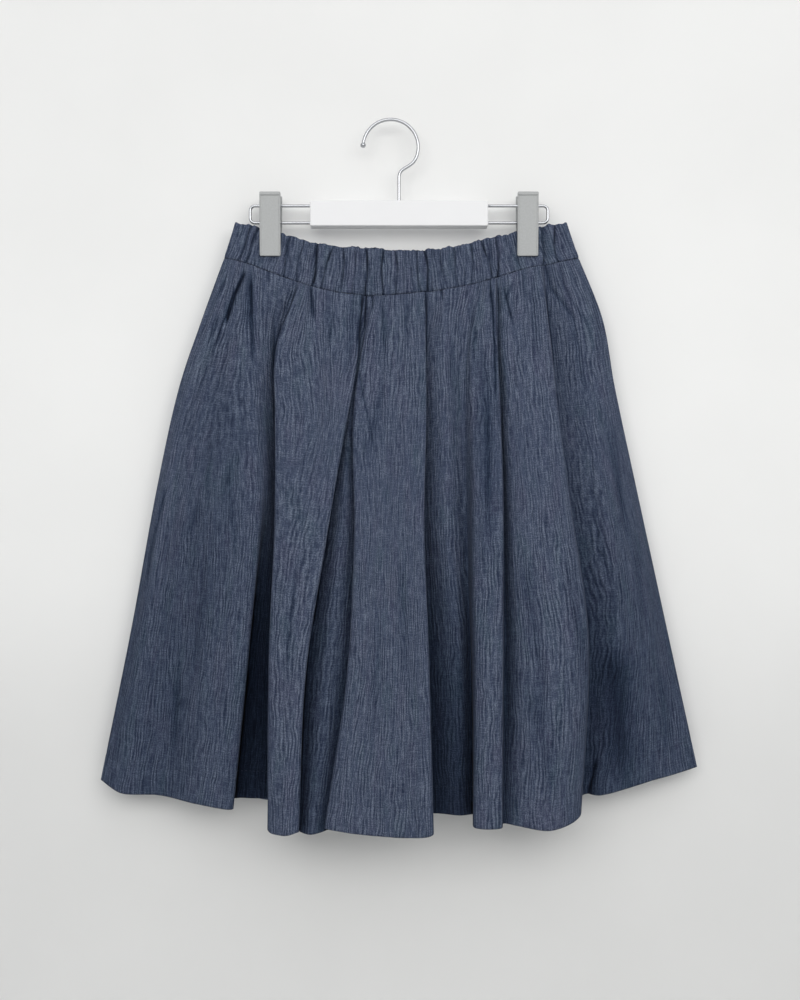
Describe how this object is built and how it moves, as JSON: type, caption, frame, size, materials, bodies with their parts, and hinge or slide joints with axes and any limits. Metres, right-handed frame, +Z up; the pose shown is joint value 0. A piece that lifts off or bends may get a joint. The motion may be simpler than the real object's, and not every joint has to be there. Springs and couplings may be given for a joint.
{
  "type": "pleated skirt on clip hanger",
  "caption": "Knee-length pleated skirt in crinkled blue-grey cloth with a gathered elastic waistband, hanging open from the two clips of a white bar hanger with a wire hook.",
  "frame": {"origin": "underside of the hook's wire above the stem, where a peg or rail holds the hanger", "axes": "+Z up along the stem, -Y out of the skirt's front, +Y towards the wall, +X to the right as seen from the front"},
  "size_m": [0.6047, 0.0881, 0.7107],
  "materials": {
    "cloth": "matt crinkled weave, slate blue with fine lighter threads",
    "chrome": "bright plated wire",
    "white": "white satin lacquer",
    "clip": "satin light grey"
  },
  "bodies": {
    "root": {"skirt_front": "cloth", "skirt_back": "cloth", "waistband_front": "cloth", "waistband_back": "cloth", "hanger_hook": "chrome", "hanger_wire_loop": "chrome", "hanger_bar": "white", "clip_left_front_jaw": "clip", "clip_left_back_jaw": "clip", "clip_left_saddle": "clip", "clip_right_front_jaw": "clip", "clip_right_back_jaw": "clip", "clip_right_saddle": "clip"}
  },
  "joints": []
}
